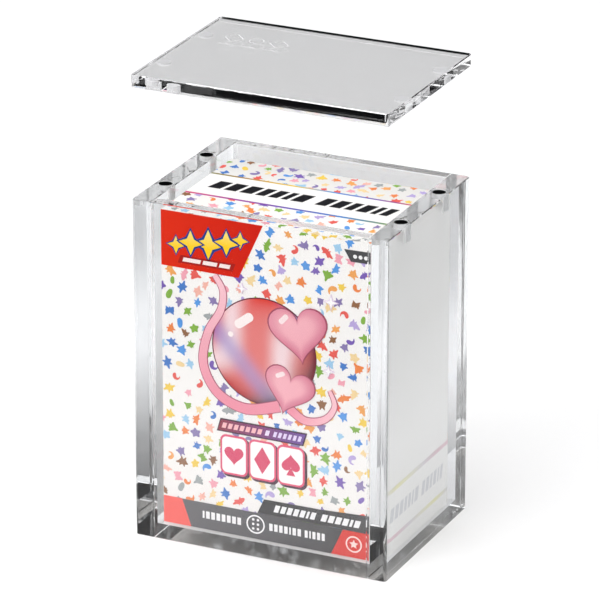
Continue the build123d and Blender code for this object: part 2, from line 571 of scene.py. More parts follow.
def acrylic_plate(node, beside, magnets, body, finishes):
    """A plate in its CAD shape, clear where it is polished, frosted where cut, open where cemented."""
    mesh = welded_copy(node, f"{node}_acrylic")
    neighbours = [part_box(n) for n in beside]
    b = bmesh.new()
    b.from_mesh(mesh)
    for corners in neighbours:
        for corner in corners:
            for axis in range(3):
                normal = Vector([float(i == axis) for i in range(3)])
                everything = b.verts[:] + b.edges[:] + b.faces[:]
                bmesh.ops.bisect_plane(b, geom=everything, plane_co=corner, plane_no=normal, dist=1e-7)
    b.normal_update()
    for face in b.faces:
        face.material_index = face_finish(face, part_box(node), neighbours, [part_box(m) for m in magnets])
    b.to_mesh(mesh)
    b.free()
    for finish in finishes:
        mesh.materials.append(finish)
    plate = add_object(f"{node}_acrylic", smooth_mesh(mesh, 32), (), body, (node,))
    plate.visible_shadow = False
    plate.visible_diffuse = False


def lathe(profile, steps):
    """A mesh turned round Z from (radius, height) points that start and end on the axis."""
    mesh = bpy.data.meshes.new("turned")
    b = bmesh.new()
    rows = []
    for radius, height in profile:
        turns = [math.tau * i / steps for i in range(steps)] if radius else [0.0]
        points = [(radius * math.cos(t), radius * math.sin(t), height) for t in turns]
        rows.append([b.verts.new(p) for p in points])
    for low, high in zip(rows, rows[1:]):
        for i in range(steps):
            j = (i + 1) % steps
            corners = [low[i % len(low)], low[j % len(low)], high[j % len(high)], high[i % len(high)]]
            b.faces.new(list(dict.fromkeys(corners)))
    bmesh.ops.recalc_face_normals(b, faces=b.faces)
    b.to_mesh(mesh)
    b.free()
    return mesh


# ---------------------------------------------------------------- geometry nodes
class PatternTree(Nodes):
    """A geometry tree with named inputs."""

    def __init__(self, name, inputs):
        super().__init__(bpy.data.node_groups.new(name, "GeometryNodeTree"))
        face = self.tree.interface
        face.new_socket("Geometry", in_out="INPUT", socket_type="NodeSocketGeometry")
        for title, kind in inputs:
            face.new_socket(title, in_out="INPUT", socket_type=f"NodeSocket{kind}")
        face.new_socket("Geometry", in_out="OUTPUT", socket_type="NodeSocketGeometry")
        self.given = self.add("NodeGroupInput")

    def finished(self, instances, material):
        """Ends the tree: real geometry with its material."""
        real = self.add("GeometryNodeRealizeInstances", {}, {0: instances})
        painted = self.add("GeometryNodeSetMaterial", {}, {"Geometry": real, "Material": material})
        self.add("NodeGroupOutput", {}, {0: painted})
        return self.tree

    def number(self, low, high, seed):
        values = {2: low, 3: high, "Seed": seed}
        return self.add("FunctionNodeRandomValue", {"data_type": "FLOAT"}, values).also(1)


def built_by(tree, base_mesh, values, name):
    """The mesh that the tree makes from a base mesh and its named inputs."""
    base = loose_object("base", base_mesh)
    modifier = base.modifiers.new("pattern", "NODES")
    modifier.node_group = tree
    for item in tree.interface.items_tree:
        if item.in_out == "INPUT" and item.name in values:
            modifier[item.identifier] = values[item.name]
    return evaluated_mesh(base, name)


def magnet_tree():
    """One turned piece set on each point of a mesh, each at its own turn."""
    t = PatternTree("Magnets", [("Piece", "Object"), ("Seed", "Int"), ("Finish", "Material")])
    piece = t.add("GeometryNodeObjectInfo", {}, {"Object": t.given.also("Piece")}).also("Geometry")
    turn = t.add("ShaderNodeCombineXYZ", {}, {"Z": t.number(0.0, math.tau, t.given.also("Seed"))})
    values = {"Points": t.given.also("Geometry"), "Instance": piece, "Rotation": turn}
    return t.finished(t.add("GeometryNodeInstanceOnPoints", {}, values), t.given.also("Finish"))


def confetti_tree(palette, kinds):
    """Small figures scattered over a face, evenly but not in rows, each in one of the inks."""
    inputs = [("Figures", "Collection"), ("Pitch", "Float"), ("Size", "Float"), ("Seed", "Int")]
    t = PatternTree("Confetti", inputs + [("Finish", "Material")])
    pitch, seed = t.given.also("Pitch"), t.given.also("Seed")
    spread = {
        "Mesh": t.given.also("Geometry"),
        "Distance Min": pitch * 0.78,
        "Density Max": 12.0 / (pitch * pitch),
        "Seed": seed,
    }
    points = t.add("GeometryNodeDistributePointsOnFaces", {"distribute_method": "POISSON"}, spread)
    source = {"Collection": t.given.also("Figures"), "Separate Children": True, "Reset Children": True}
    figures = t.add("GeometryNodeCollectionInfo", {}, source)
    turn = t.add("ShaderNodeCombineXYZ", {}, {"Z": t.number(0.0, math.tau, seed)})
    size = t.given.also("Size") * t.number(0.8, 1.2, seed + 1.0)
    pick = t.number(0.0, kinds - 0.001, seed + 2.0).math("FLOOR")
    values = {"Points": points, "Instance": figures, "Pick Instance": True, "Instance Index": pick}
    placed = t.add("GeometryNodeInstanceOnPoints", {}, {**values, "Rotation": turn, "Scale": size})
    stops = [(i / len(palette), colour) for i, colour in enumerate(palette)]
    ramp = {"interpolation": "CONSTANT", "stops": stops}
    ink = t.add("ShaderNodeValToRGB", ramp, {0: t.number(0.0, 1.0, seed + 3.0)})
    store = {"data_type": "FLOAT_COLOR", "domain": "INSTANCE"}
    named = {"Geometry": placed, "Name": "ink", "Value": ink}
    painted = t.add("GeometryNodeStoreNamedAttribute", store, named)
    return t.finished(painted, t.given.also("Finish"))


# ---------------------------------------------------------------- the printed faces
class PrintedFace:
    """One side of the carton: u runs right and v up as it is looked at, in millimetres."""

    def __init__(self, name):
        low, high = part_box("carton_shell")
        views = {
            "front": ((1, 0, 0), (0, 0, 1), (0, low.y, 0)),
            "rear": ((-1, 0, 0), (0, 0, 1), (0, high.y, 0)),
            "right": ((0, 1, 0), (0, 0, 1), (high.x, 0, 0)),
            "left": ((0, -1, 0), (0, 0, 1), (low.x, 0, 0)),
            "top": ((1, 0, 0), (0, 1, 0), (0, 0, high.z)),
        }
        self.name = name
        self.u, self.v, self.origin = (Vector(v) for v in views[name])
        self.out = self.u.cross(self.v)
        spans = [sorted((low.dot(axis) / MM, high.dot(axis) / MM)) for axis in (self.u, self.v)]
        (self.left, self.right), (self.bottom, self.top) = spans

    def place(self, u, v, height):
        return self.origin + (self.u * u + self.v * v + self.out * height) * MM


# Ink starts just off the board, and each layer stands a hair above the last, in millimetres.
INK_FOOT, INK_TOP, LAYER = 0.005, 0.02, 0.03


class Artwork(Solids):
    """Inks printed over each other on one face, in numbered layers."""

    def __init__(self, face):
        super().__init__(face.place)
        self.face = face

    def spot(self, outline, layer, colour):
        self.prism(outline, INK_FOOT, INK_TOP + layer * LAYER, colour)

    def hoop(self, outer, inner, layer, colour):
        self.ring(outer, inner, INK_FOOT, INK_TOP + layer * LAYER, colour)

    def field(self, rows, layer, colour):
        self.sheet(rows, INK_FOOT, INK_TOP + layer * LAYER, colour)

    def cushion(self, outline, centre, rings, layer, colour):
        self.mound(outline, centre, rings, INK_FOOT, INK_TOP + layer * LAYER, colour)

    def line(self, points, widths, layer, colour):
        """A stroke along points, with a width at each."""
        rows = [[], []]
        for i, (x, y) in enumerate(points):
            (ax, ay), (bx, by) = points[max(i - 1, 0)], points[min(i + 1, len(points) - 1)]
            run = math.hypot(bx - ax, by - ay)
            nx, ny = -(by - ay) / run * widths[i] / 2, (bx - ax) / run * widths[i] / 2
            rows[0].append((x - nx, y - ny))
            rows[1].append((x + nx, y + ny))
        self.field(rows, layer, colour)

    def bars(self, x0, x1, y0, y1, lean, widths, gap, layer, colour):
        """Plain slanted bars, in the place of a line of words."""
        scale = (x1 - x0 - gap * (len(widths) - 1)) / sum(widths)
        x = x0
        for width in widths:
            self.spot(slanted(x, x + width * scale, y0, y1, lean), layer, colour)
            x += width * scale + gap

    def piece(self, name, finish):
        add_object(name, self.mesh(name), (finish,), "carton")


def star(x, y, radius, points, depth, turn=90):
    """A star with straight arms, whose notches are at depth times its radius."""
    places = [math.radians(turn + 180 * i / points) for i in range(2 * points)]
    reach = [radius if i % 2 == 0 else radius * depth for i in range(2 * points)]
    return [(x + r * math.cos(t), y + r * math.sin(t)) for r, t in zip(reach, places)]


def across(x0, x1, start, end):
    """A colour that runs from start to end between two places along u."""
    return lambda u, v: blended(start, end, (u - x0) / (x1 - x0))


def curve(points, steps):
    """A smooth line of this many steps through control points."""
    ends = [points[0], *points, points[-1]]
    line = []
    spans = len(points) - 1
    for i in range(steps + 1):
        place = spans * i / steps
        k = min(int(place), spans - 1)
        t = place - k
        a, b, c, d = ends[k : k + 4]
        line.append(tuple(
            0.5 * (2 * q + (r - p) * t + (2 * p - 5 * q + 4 * r - s) * t**2 + (3 * q - p - 3 * r + s) * t**3)
            for p, q, r, s in zip(a, b, c, d)
        ))
    return line


def corner_flag(art, s):
    """The red flag with stars and a small banner, and the grey tab across from it."""
    left, top = art.face.left, art.face.top
    flag = [(left, top - 22.4), (-11.0, top - 22.6), (-0.8, top), (left, top)]
    art.spot(flag, 3, across(left, 0, s.red, srgb("cf1a04")))
    navy, gold, cream = srgb("1f3f8c"), srgb("ffd021"), srgb("ffe98a")
    stars = (
        (-37.2, 120.6, 3.6), (-31.0, 122.4, 5.0), (-23.6, 122.8, 6.0),
        (-16.0, 124.6, 5.0), (-10.2, 126.6, 3.4),
    )
    for i, (x, y, radius) in enumerate(stars):
        over = 2 * (i % 2)
        art.spot(star(x, y, radius * 1.22, 4, 0.5), 4 + over, navy)
        art.spot(star(x, y, radius, 4, 0.42), 5 + over, lambda u, v, y=y: blended(gold, cream, (v - y) / 4))
    art.spot(slanted(-36.5, -13.5, 113.6, 116.8, 1.2), 4, srgb("a81c14"))
    art.bars(-34.5, -14.8, 114.4, 116.0, 0.5, (5, 4, 3), 1.0, 5, srgb("fbe9e4"))
    tab = [(35.5, top - 8.4), (art.face.right, top - 8.2), (art.face.right, top - 3.6), (32.7, top - 3.8)]
    art.spot(tab, 3, srgb("4e4e50"))
    for i in range(3):
        art.spot(disc(37.2 + 2.2 * i, top - 6.1, 0.8, 16), 4, srgb("f4f4f4"))


def marble(art, x, y, radius):
    """A glass marble: a shaded ball with soft diagonal swirls and a window of light."""
    art.spot(disc(x, y, radius + 0.45, 72), 3, srgb("6e3340"))

    def glass(u, v, inward):
        a, b = (u - x) / radius, (v - y) / radius
        swirl = 0.5 + 0.5 * math.sin(4.6 * (0.8 * a - 0.6 * b) + 1.6 * math.sin(1.7 * (a + b)) - 0.6)
        base = blended(srgb("df3f35"), srgb("f3d3d6"), swirl**1.8)
        base = blended(base, srgb("8f78c0"), 0.7 * max(0.0, math.sin(3.0 * (a + 0.9 * b) + 3.6)) ** 3)
        edge = (a * a + b * b) ** 2
        shade = min(1.0, max(0.0, 0.35 + 0.55 * (a - b)) * edge + max(0.0, a - b - 0.5) * 0.45)
        return blended(blended(base, srgb("3d2030"), 0.8 * shade), srgb("ffffff"), 0.18 * (1 - edge))

    art.cushion(disc(x, y, radius, 72), (x, y), 26, 4, glass)
    window = turned(rounded(x - 8.4, y + 11.4, 9.0, 3.6, 1.7), 38, (x - 8.4, y + 11.4))
    art.spot(window, 5, srgb("fff3f0"))
    art.spot(disc(x - 14.0, y + 5.0, 1.1, 20), 5, srgb("fff3f0"))


def puffed_heart(art, x, y, size, turn, layer):
    """A soft heart, lit from the upper left, with a darker rim and a small window of light."""
    outline = turned(heart(x, y, size, 48), turn, (x, y))
    rim = [(x + (u - x) * 1.045, y + (v - y) * 1.045) for u, v in outline]
    art.spot(rim, layer, srgb("a8556a"))

    def soft(u, v, inward):
        lit = 0.5 + 0.5 * ((v - y) - (u - x)) / size
        body = blended(srgb("e0849a"), srgb("f8b9c2"), min(1.0, 2.4 * inward) * 0.6 + 0.5 * lit)
        return blended(body, srgb("c56481"), max(0.0, 0.55 - inward) * (1.15 - lit))

    art.cushion(outline, (x, y), 12, layer + 1, soft)
    glint = rounded(x - size * 0.23, y + size * 0.2, size * 0.2, size * 0.09, size * 0.04)
    glint = turned(glint, 40, (x - size * 0.23, y + size * 0.2))
    art.spot(turned(glint, turn, (x, y)), layer + 2, srgb("fde6e6"))


def ribbon(art, points, width, tip, layer, colour):
    """A tapering ribbon through points, with a darker edge."""
    steps = 60
    line = curve(points, steps)
    sizes = [width + (tip - width) * i / steps for i in range(steps + 1)]
    art.line(line, [w + 0.6 for w in sizes], layer, srgb("b05a72"))
    art.line(line, sizes, layer + 1, colour)


def hero_picture(art, s):
    """A marble with ribbons round it and two soft hearts in front."""
    light = srgb("f9c6cf")
    marble(art, -0.4, 83.1, 21.4)
    wave = [(6, 62), (-8, 58.5), (-20, 63), (-26, 74), (-24, 87), (-18.6, 97), (-17.6, 105), (-21, 111)]
    ribbon(art, wave, 4.4, 2.2, 5, lambda u, v: blended(s.pink, light, (v - 60) / 46))
    sweep = [(10, 62), (17, 58), (25, 60), (29, 66), (27, 72)]
    ribbon(art, sweep, 3.6, 1.4, 7, lambda u, v: blended(s.pink, light, (u - 10) / 20))
    puffed_heart(art, 10.0, 70.0, 20.5, -14, 9)
    puffed_heart(art, 14.0, 94.0, 24.0, 8, 12)
    for x, y, radius in ((27.5, 108.0, 2.6), (-9.5, 107.5, 1.8), (26.5, 80.0, 2.0)):
        art.spot(star(x, y, radius * 1.25, 4, 0.34), 15, srgb("e6d5ea"))
        art.spot(star(x, y, radius, 4, 0.3), 16, srgb("fffdfb"))


def title_tiles(art):
    """A violet banner over three tiles, each with a plain card suit."""
    wine, violet = srgb("8e2438"), srgb("6d4a9c")
    art.spot(slanted(-20.5, 16.0, 47.4, 52.8, 1.6), 6, srgb("3d1a33"))
    art.spot(slanted(-20.0, 15.6, 47.9, 52.3, 1.4), 7, across(-20, 16, wine, violet))
    art.bars(-18.4, -1.8, 49.0, 51.2, 0.7, (2,) * 7, 0.8, 8, srgb("f3b9bd"))
    art.bars(-0.2, 1.4, 49.0, 51.2, 0.7, (1,), 0.8, 8, srgb("e9dcf2"))
    art.bars(3.2, 14.8, 49.0, 51.2, 0.7, (2,) * 6, 0.8, 8, srgb("e2d3f2"))
    stem = [(8.9, 34.2), (12.7, 34.2), (11.1, 37.2), (10.5, 37.2)]
    spade = turned(heart(10.8, 39.0, 7.8, 28), 180, (10.8, 39.0))
    suits = ((heart(-13.2, 38.5, 8.2, 28),), (star(-1.2, 38.3, 5.6, 2, 0.62),), (spade, stem))
    for centre, shapes in zip((-13.2, -1.2, 10.8), suits):
        art.spot(rounded(centre + 0.9, 37.4, 11.8, 16.6, 2.6), 6, srgb("4a2a3c"))
        art.spot(rounded(centre, 38.2, 11.6, 16.4, 2.5), 7, srgb("e2577a"))
        art.spot(rounded(centre, 38.2, 10.0, 14.8, 1.9), 8, srgb("fdfbfa"))
        for shape in shapes:
            art.spot(shape, 9, srgb("d9486c"))


def foot_band(art, s):
    """The grey band with its raised label, bars in place of words, and the two corner flashes."""
    left, right, bottom = art.face.left, art.face.right, art.face.bottom
    band = [[(left + (right - left) * i / 12, bottom + 11.0 * j) for i in range(13)] for j in (0, 1)]
    dark = srgb("38383a")
    art.field(band, 3, across(left, right, srgb("69696c"), dark))
    label = [(-3.4, 16.1), (right, 16.1), (right, 23.4), (23.1, 22.4), (-0.6, 22.2)]
    art.spot(label, 4, across(0, right, srgb("2f2f31"), srgb("454547")))
    art.bars(3.4, 20.6, 17.7, 20.7, 1.0, (2, 2, 2, 2, 2, 1, 2), 0.75, 5, srgb("f4f4f4"))
    art.bars(23.2, 39.2, 17.7, 20.7, 1.0, (2, 2, 2, 2, 1, 2), 0.75, 5, srgb("f4f4f4"))
    art.spot([(left, bottom), (-31.7, bottom), (-35.6, 16.1), (left, 16.1)], 4, s.salmon)
    art.spot([(27.7, bottom), (right, bottom), (right, 15.9), (32.6, 15.9)], 4, srgb("d8332a"))
    white = srgb("f6f6f6")
    words = (
        (-26.8, -10.4, (1, 2, 2, 2, 2, 2, 2, 2)),
        (1.6, 15.0, (2, 2, 2, 2, 1, 2, 2)),
        (16.6, 25.0, (2, 1, 2, 2, 2)),
    )
    for start, end, widths in words:
        art.bars(start, end, 9.6, 12.6, 0.0, widths, 0.7, 5, white)
    art.hoop(disc(-4.2, 11.1, 3.9), disc(-4.2, 11.1, 3.3), 5, white)
    for i in range(6):
        art.spot(disc(-5.2 + 2 * (i % 2), 9.2 + 1.9 * (i // 2), 0.55, 12), 5, white)
    rose = srgb("f7d9d4")
    art.hoop(disc(37.2, 10.6, 3.4), disc(37.2, 10.6, 2.8), 5, rose)
    art.spot(star(37.2, 10.6, 1.9, 5, 0.5), 5, rose)


def rainbow(stops):
    """A colour along u through (place, colour) stops."""

    def colour(u, v):
        for (a, start), (b, end) in zip(stops, stops[1:]):
            if u <= b:
                return blended(start, end, (u - a) / (b - a))
        return stops[-1][1]

    return colour


def striped(art, y, thick, codes):
    """A thin stripe of running colours from one edge of the face to the other."""
    left, right = art.face.left, art.face.right
    stops = [(left + (right - left) * i / (len(codes) - 1), srgb(code)) for i, code in enumerate(codes)]
    line = [(left + (right - left) * i / 48, y) for i in range(49)]
    art.field([line, moved(line, 0, thick)], 5, rainbow(stops))


WARM_STRIPE = ("7b7a3a", "b58a4a", "e8c63a", "4f97dc", "7a5bb0", "c8343c")
COOL_STRIPE = ("d8507e", "a24ba0", "6c5ab4", "4a86cc", "7f9a3e")
PALE_STRIPE = ("dcd8da", "eae6a4", "e6e3c8", "d9d3d8", "ddb9c4", "e8c2cb")


def top_title(art):
    """A white band between two coloured stripes, with two groups of dark slanted bars."""
    left, right = art.face.left, art.face.right
    art.spot([(left, -11.8), (right, -11.8), (right, 11.0), (left, 11.0)], 3, srgb("f8f6f3"))
    striped(art, 10.2, 1.1, WARM_STRIPE)
    striped(art, -12.4, 1.1, COOL_STRIPE)
    ink = srgb("1c1c20")
    art.bars(-38.0, 2.0, -4.0, 4.0, 2.0, (4, 4, 4, 3, 3, 2, 4), 1.5, 4, ink)
    art.bars(7.0, 37.0, -4.0, 4.0, 2.0, (4, 4, 3, 4, 2, 3), 1.5, 4, ink)


def side_title(art):
    """Faint stripes with pale grey bars between, low on a side."""
    left, right = art.face.left, art.face.right
    art.spot([(left, 12.0), (right, 12.0), (right, 31.6), (left, 31.6)], 3, srgb("f8f6f3"))
    striped(art, 30.6, 1.6, PALE_STRIPE)
    striped(art, 10.8, 1.6, PALE_STRIPE[::-1])
    middle = (left + right) / 2
    grey = srgb("d0d0d4")
    art.bars(middle - 25, middle + 1, 18.4, 24.0, 1.2, (4, 4, 4, 3, 3, 2, 4), 1.2, 4, grey)
    art.bars(middle + 4.5, middle + 24, 18.4, 24.0, 1.2, (4, 4, 3, 4, 2, 3), 1.2, 4, grey)


def rear_panel_print(art, s):
    """A foot band, a plain block of lines, a row of hearts and a label of upright bars."""
    left, right, bottom = art.face.left, art.face.right, art.face.bottom
    art.spot([(left, bottom), (right, bottom), (right, bottom + 11), (left, bottom + 11)], 3, srgb("58585b"))
    art.spot(rounded(0, 92, 65, 43, 3.7), 3, srgb("fbfaf8"))
    art.hoop(rounded(0, 92, 66, 44, 4), rounded(0, 92, 64, 42, 3.4), 4, s.salmon)
    for i in range(6):
        width = (54, 50, 56, 46, 52, 30)[i]
        art.spot(slanted(-28, -28 + width, 105 - i * 5.2, 106.6 - i * 5.2, 0), 4, srgb("8d8d92"))
    for i, code in enumerate(("e2577a", "5aa0e8", "f5cf4e", "8bc34a", "7a5bb0")):
        art.spot(heart(-30 + 15 * i, 52, 9, 24), 4, srgb(code))
    art.spot(rounded(26, 28, 22, 14, 1.2), 4, srgb("ffffff"))
    for i in range(14):
        art.spot(slanted(16.6 + i * 1.36, 17.1 + i * 1.36 + 0.4 * (i % 3 == 0), 23, 33, 0), 5, srgb("202022"))
    art.bars(-38, 4, 24, 26.4, 0.4, (4, 3, 5, 2), 1.5, 4, srgb("6a6a70"))
    art.bars(-38, 0, 30, 32.4, 0.4, (3, 5, 3), 1.5, 4, srgb("6a6a70"))


CONFETTI_CODES = (
    "7d62b4", "5b9ae0", "a3cdea", "86b24c", "f2cf58", "ee8a4e", "e8635a",
    "f0a6b4", "94694a", "b9a8da", "a3a8a8", "f3d7a0", "4f80c8", "f0a860", "8d7fb0", "f4b8a8",
)
# Each figure is a small body with limbs: how much longer than wide the body is, then each limb as
# (direction in degrees, reach, spread in degrees).
FIGURES = (
    (0.20, (65, 0.5, 12), (115, 0.5, 12), (200, 0.6, 12), (240, 0.4, 12), (300, 0.4, 12), (350, 0.3, 12)),
    (0.10, (25, 0.4, 14), (155, 0.4, 14), (245, 0.5, 12), (295, 0.5, 12), (75, 0.3, 10), (105, 0.3, 10)),
    (0.40, (10, 0.4, 20), (185, 0.7, 11), (150, 0.3, 12), (60, 0.4, 12), (250, 0.4, 10), (290, 0.4, 10)),
    (0.00, (90, 0.6, 12), (45, 0.3, 16), (135, 0.3, 16), (220, 0.3, 12), (320, 0.3, 12)),
    (0.30, (20, 0.5, 14), (330, 0.4, 12), (240, 0.5, 12), (275, 0.5, 12), (165, 0.6, 12), (120, 0.3, 12)),
    (0.10, (70, 0.5, 11), (110, 0.5, 11), (180, 0.5, 14), (0, 0.5, 14), (250, 0.3, 14), (290, 0.3, 14)),
    (0.35, (45, 0.4, 18), (225, 0.5, 14), (135, 0.4, 12), (315, 0.4, 12), (90, 0.3, 14)),
    (0.25, (90, 0.1, 50), (0, 0.3, 30)),
    (0.15, (30, 0.6, 13), (95, 0.5, 12), (210, 0.6, 13), (270, 0.4, 12), (330, 0.3, 14), (150, 0.3, 12)),
    (0.05, (90, 0.6, 16), (200, 0.4, 20), (340, 0.4, 20), (250, 0.3, 12), (290, 0.3, 12)),
    (0.30, (80, 0.4, 11), (120, 0.5, 11), (350, 0.5, 14), (230, 0.5, 12), (300, 0.4, 12)),
    (0.10, (0, 0.3, 18), (72, 0.3, 18), (144, 0.3, 18), (216, 0.3, 18), (288, 0.3, 18)),
)
# Curled figures, by how far they wind in degrees.
CURLS = (190, 240)


def limbed(stretch, limbs, steps=40):
    """An outline about one unit in radius: a long or round body with its limbs."""
    points = []
    for i in range(steps):
        turn = 360 * i / steps
        reach = 0.52 * (1 + stretch * math.cos(math.radians(2 * turn)))
        for direction, far, spread in limbs:
            apart = (turn - direction + 180) % 360 - 180
            reach += 0.95 * far * math.exp(-((apart / spread) ** 2))
        points.append((reach * math.cos(math.radians(turn)), reach * math.sin(math.radians(turn))))
    return points


def curled(sweep, steps=16):
    """An outline about one unit in radius: a comma, thick at its head, that winds this many degrees."""
    outer, inner = [], []
    for i in range(steps + 1):
        share = i / steps
        half = 0.07 + 0.95 * math.sqrt(share) * (1 - share) ** 1.5
        turn = math.radians(sweep * share)
        outer.append(((0.56 + half) * math.cos(turn), (0.56 + half) * math.sin(turn)))
        inner.append(((0.56 - half) * math.cos(turn), (0.56 - half) * math.sin(turn)))
    return outer + inner[::-1]


def confetti_on(face, tree, figures, s, seed, finish):
    """Confetti over a whole face, cut off at its folds."""
    sheet = bpy.data.meshes.new("field")
    reach = s.figure
    u0, u1, v0, v1 = (face.left - reach, face.right + reach, face.bottom - reach, face.top + reach)
    corners = [(u0, v0), (u1, v0), (u1, v1), (u0, v1)]
    sheet.from_pydata([(u * MM, v * MM, 0) for u, v in corners], [], [(0, 1, 2, 3)])
    values = {
        "Figures": figures, "Pitch": s.pitch * MM, "Size": s.figure * MM, "Seed": seed, "Finish": finish,
    }
    mesh = built_by(tree, sheet, values, f"{face.name}_confetti")
    b = bmesh.new()
    b.from_mesh(mesh)
    edges = (
        ((face.left, 0, 0), (-1, 0, 0)), ((face.right, 0, 0), (1, 0, 0)),
        ((0, face.bottom, 0), (0, -1, 0)), ((0, face.top, 0), (0, 1, 0)),
    )
    for place, outwards in edges:
        cut = {"geom": b.verts[:] + b.edges[:] + b.faces[:], "plane_co": Vector(place) * MM}
        bmesh.ops.bisect_plane(b, **cut, plane_no=outwards, clear_outer=True, dist=1e-8)
        bmesh.ops.holes_fill(b, edges=[e for e in b.edges if e.is_boundary], sides=0)
    b.normal_update()
    bmesh.ops.recalc_face_normals(b, faces=b.faces)
    for vertex in b.verts:
        vertex.co = face.place(vertex.co.x / MM, vertex.co.y / MM, vertex.co.z / MM)
    b.to_mesh(mesh)
    b.free()
    add_object(f"{face.name}_confetti", mesh, (finish,), "carton")


def figure_collection():
    """The small figures, about one unit in radius until they are scattered, in a collection."""
    figures = bpy.data.collections.new("figures")
    bpy.context.scene.collection.children.link(figures)
    outlines = [limbed(stretch, limbs) for stretch, *limbs in FIGURES] + [curled(sweep) for sweep in CURLS]
    for i, outline in enumerate(outlines):
        solid = Solids(lambda u, v, height: (u, v, height))
        solid.prism(outline, 0.005, 0.032)
        mesh = solid.mesh("figure")
        mesh.color_attributes.remove(mesh.color_attributes["ink"])
        figures.objects.link(bpy.data.objects.new(f"figure_{i}", mesh))
    return figures


# ---------------------------------------------------------------- operators
BLACK = "0c0c0e"


def dark_cards_and_painted_shade():
    """Black cards round the case, which only reflections and glass see; the glass does not see the side
    card. The front card darkens the reflected floor, as a studio sets black cards round clear acrylic.
    The far card faintly darkens the floor seen through the rear panel. The left and rear cards are
    painted shadow: dark sheets on the floor beside and behind the case where its shadow falls, since
    the acrylic casts none. The side card is painted shade: it darkens the reflection in the right
    side, more towards the top. Each is rows of (x, y, z, how dark), in millimetres."""
    f = Finish("black_card")
    f.set(Base_Color=srgb(BLACK), Roughness=0.9, Specular_IOR_Level=0.1)
    # The ink attribute holds how dark each card is: painted shadow on the left and rear cards, painted shade
    # on the side card.
    f.clear_but_for(f.add("ShaderNodeAttribute", {"attribute_name": "ink"}).also("Fac"))
    cards = {
        "front_card": (
            ((-120, -130, 0, 0.0), (10, -130, 0, 0.0)),
            ((-165, -230, 0, 1.0), (-10, -230, 0, 1.0)),
            ((-1000, -1500, 0, 1.0), (-230, -1500, 0, 1.0)),
        ),
        # Painted shade: darkens the reflection in the case's right side, more towards the top.
        "side_card": (
            ((90, -45, 12, 0.0), (90, 118, 12, 0.0)),
            ((90, -45, 60, 0.6), (90, 118, 60, 0.6)),
            ((90, -45, 155, 1.0), (90, 118, 155, 1.0)),
        ),
        # Painted shadow: a dark sheet on the floor left of the case, where its shadow falls.
        "left_card": (
            ((-130, -45, 0, 0.0), (-58, -45, 0, 0.0)),
            ((-130, -25, 0, 0.65), (-58, -25, 0, 0.65)),
            ((-120, 44, 0, 0.6), (-58, 44, 0, 0.75)),
        ),
        # Painted shadow: a dark sheet on the floor behind the case, fading away from it, where its shadow
        # falls.
        "rear_card": (
            ((-120, 44, 0, 0.6), (-60, 44, 0, 0.75), (20, 44, 0, 0.75)),
            ((-140, 90, 0, 0.6), (-75, 90, 0, 0.55), (20, 90, 0, 0.55)),
            ((-170, 165, 0, 0.25), (-115, 165, 0, 0.0), (20, 165, 0, 0.0)),
            ((-200, 230, 0, 0.0), (-150, 230, 0, 0.0), (20, 230, 0, 0.0)),
        ),
        "far_card": (
            ((-235, 200, 0, 0.0), (-190, 200, 0, 0.0), (90, 200, 0, 0.0), (120, 200, 0, 0.0)),
            ((-235, 280, 0, 0.0), (-190, 280, 0, 0.3), (90, 280, 0, 0.3), (120, 280, 0, 0.0)),
            ((-235, 390, 0, 0.0), (-190, 390, 0, 0.3), (90, 390, 0, 0.3), (120, 390, 0, 0.0)),
            ((-235, 430, 0, 0.0), (-190, 430, 0, 0.0), (90, 430, 0, 0.0), (120, 430, 0, 0.0)),
        ),
    }
    for name, rows in cards.items():
        wide = len(rows[0])
        places = [corner for row in rows for corner in row]
        corners = [(i * wide + j, i * wide + j + 1) for i in range(len(rows) - 1) for j in range(wide - 1)]
        mesh = bpy.data.meshes.new(name)
        faces = [(a, b, b + wide, a + wide) for a, b in corners]
        mesh.from_pydata([[value * MM for value in place[:3]] for place in places], [], faces)
        ink = mesh.color_attributes.new(name="ink", type="FLOAT_COLOR", domain="POINT")
        ink.data.foreach_set("color", [value for *_, dark in places for value in (dark, dark, dark, 1.0)])
        mesh.materials.append(f.material)
        card = loose_object(name, mesh)
        card.visible_camera = card.visible_diffuse = card.visible_shadow = False
        card.visible_transmission = name != "side_card"


